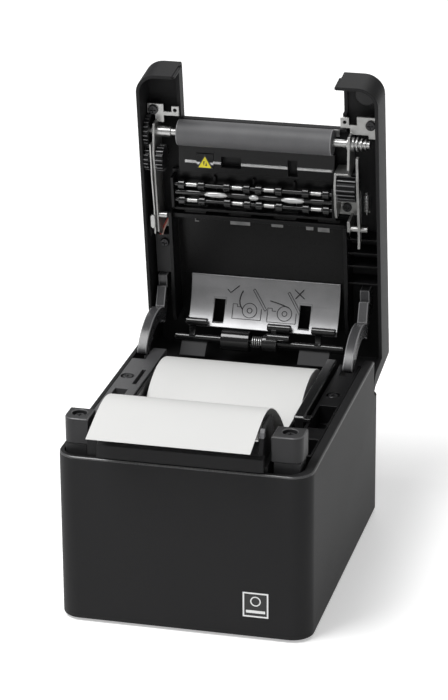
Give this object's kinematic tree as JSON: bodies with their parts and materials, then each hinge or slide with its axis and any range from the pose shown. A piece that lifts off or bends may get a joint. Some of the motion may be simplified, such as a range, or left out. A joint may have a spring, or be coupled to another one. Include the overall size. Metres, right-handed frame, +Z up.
{
  "type": "receipt printer",
  "caption": "Desktop thermal receipt printer with a hinged top cover standing open, a paper roll in its bucket and the platen and gears in the cover.",
  "frame": {"origin": "middle of the case's footprint, on the plane the rubber feet stand on; the pattern of base screws is centred over it", "axes": "+X across the paper to the right seen from the front, +Y from the front to the hinge at the back, +Z up; rest has the cover open"},
  "size_m": [0.125, 0.2071, 0.2342],
  "materials": {
    "case_black": "fine textured",
    "liner_black": "satin",
    "grey_plastic": "fine textured",
    "gear_black": "satin",
    "platen_rubber": "ground",
    "foot_rubber": "matte",
    "zinc_steel": "zinc plated",
    "bright_steel": "polished",
    "spring_steel": "drawn",
    "black_screw": "blackened",
    "paper_white": "smooth coated",
    "core_card": "wound",
    "guide_black": "satin",
    "head_ceramic": "glazed",
    "aluminium": "extruded",
    "board_green": "coated",
    "port_shell": "plated",
    "mark_white": "printed",
    "caution_yellow": "printed",
    "lamp_clear": "clear",
    "lead_red": "insulation"
  },
  "bodies": {
    "case": {"lower_case": "case_black", "base_plate": "liner_black", "rubber_feet": "foot_rubber", "paper_bucket": "liner_black", "bucket_rail": "liner_black", "left_deck": "grey_plastic", "right_deck": "case_black", "left_post": "grey_plastic", "right_post": "grey_plastic", "deck_screws": "black_screw", "front_guide": "case_black", "thermal_head": "head_ceramic", "head_heatsink": "aluminium", "cutter_cover": "zinc_steel", "cutter_motor": "zinc_steel", "feed_motor": "zinc_steel", "main_board": "board_green", "switch_frame": "liner_black", "hinge_brackets": "zinc_steel", "front_mark": "mark_white", "paper_web": "paper_white", "power_inlet": "liner_black", "signal_ports": "port_shell"},
    "cutter": {"cutter_blade": "bright_steel"},
    "drive": {"drive_gear": "gear_black"},
    "rocker": {"power_switch": "liner_black"},
    "roll": {"paper_roll": "paper_white", "roll_core": "core_card"},
    "cover": {"top_cover": "case_black", "inner_cover": "liner_black", "hinge_pins": "bright_steel", "left_bracket": "zinc_steel", "right_bracket": "zinc_steel", "platen_bushings": "bright_steel", "roller_frame": "liner_black", "paper_deflector": "liner_black", "guard_bar": "liner_black", "caution_mark": "caution_yellow", "fixed_blade": "bright_steel", "guide_plate": "guide_black", "rear_guide_bar": "liner_black", "left_stay_arm": "grey_plastic", "right_stay_arm": "grey_plastic", "cover_springs": "spring_steel", "switch_box": "grey_plastic", "switch_leads": "lead_red", "cover_screws": "black_screw", "status_lamps": "lamp_clear"},
    "platen": {"platen_roller": "platen_rubber", "platen_shaft": "bright_steel", "platen_gear": "gear_black"},
    "idler": {"idler_gear": "gear_black"},
    "wide_gear": {"wide_gear": "gear_black"},
    "front_rollers": {"front_guide_rollers": "bright_steel"},
    "rear_rollers": {"rear_guide_rollers": "bright_steel"},
    "damper": {"damper_lever": "liner_black"},
    "left_latch": {"left_latch": "zinc_steel"},
    "right_latch": {"right_latch": "zinc_steel"},
    "release": {"release_button": "grey_plastic"},
    "feed_key": {"feed_button": "grey_plastic"}
  },
  "joints": [
    {"name": "cover_hinge", "type": "hinge", "parent": "case", "child": "cover", "pos_m": [0, 0.07624, 0.07245], "axis": [1, 0, 0], "range_deg": [0, 82], "deforming": ["paper_web"]},
    {"name": "platen_turn", "type": "hinge", "parent": "cover", "child": "platen", "pos_m": [0, 0.08338, 0.19816], "axis": [1, 0, 0], "continuous": true},
    {"name": "idler_turn", "type": "hinge", "parent": "cover", "child": "idler", "pos_m": [0, 0.08239, 0.1842], "axis": [1, 0, 0], "continuous": true},
    {"name": "wide_gear_turn", "type": "hinge", "parent": "cover", "child": "wide_gear", "pos_m": [0, 0.08526, 0.1744], "axis": [1, 0, 0], "continuous": true},
    {"name": "front_rollers_turn", "type": "hinge", "parent": "cover", "child": "front_rollers", "pos_m": [0, 0.08817, 0.16874], "axis": [1, 0, 0], "continuous": true},
    {"name": "rear_rollers_turn", "type": "hinge", "parent": "cover", "child": "rear_rollers", "pos_m": [0, 0.0894, 0.15983], "axis": [1, 0, 0], "continuous": true},
    {"name": "damper_swing", "type": "hinge", "parent": "cover", "child": "damper", "pos_m": [0, 0.08988, 0.08367], "axis": [-1, 0, 0], "range_deg": [0, 10], "stiffness_Nm_per_rad": 0.01},
    {"name": "release_press", "type": "slide", "parent": "cover", "child": "release", "axis": [1, 0, 0], "range_m": [0, 0.001], "stiffness_N_per_m": 200},
    {"name": "left_latch_swing", "type": "hinge", "parent": "cover", "child": "left_latch", "pos_m": [0, 0.08532, 0.15219], "axis": [-1, 0, 0], "range_deg": [0, 3.1]},
    {"name": "right_latch_swing", "type": "hinge", "parent": "cover", "child": "right_latch", "pos_m": [0, 0.08532, 0.15219], "axis": [-1, 0, 0], "range_deg": [0, 3.1]},
    {"name": "feed_press", "type": "slide", "parent": "cover", "child": "feed_key", "axis": [0, -0.9905, -0.1374], "range_m": [0, 0.0005], "stiffness_N_per_m": 300},
    {"name": "cutter_slide", "type": "slide", "parent": "case", "child": "cutter", "axis": [0, 1, 0], "range_m": [0, 0.006]},
    {"name": "drive_turn", "type": "hinge", "parent": "case", "child": "drive", "pos_m": [0, -0.0455, 0.0806], "axis": [1, 0, 0], "continuous": true},
    {"name": "power_rock", "type": "hinge", "parent": "case", "child": "rocker", "pos_m": [-0.058, -0.052, 0.032], "axis": [0, 0, 1], "range_deg": [-14, 0]},
    {"name": "roll_turn", "type": "hinge", "parent": "case", "child": "roll", "pos_m": [0, 0.0368, 0.0501], "axis": [1, 0, 0], "continuous": true}
  ],
  "couplings": [
    {"joint": "idler_turn", "follows": "platen_turn", "ratio": -1.2222},
    {"joint": "left_latch_swing", "follows": "release_press", "rad_per_m": 54},
    {"joint": "right_latch_swing", "follows": "release_press", "rad_per_m": 54}
  ]
}
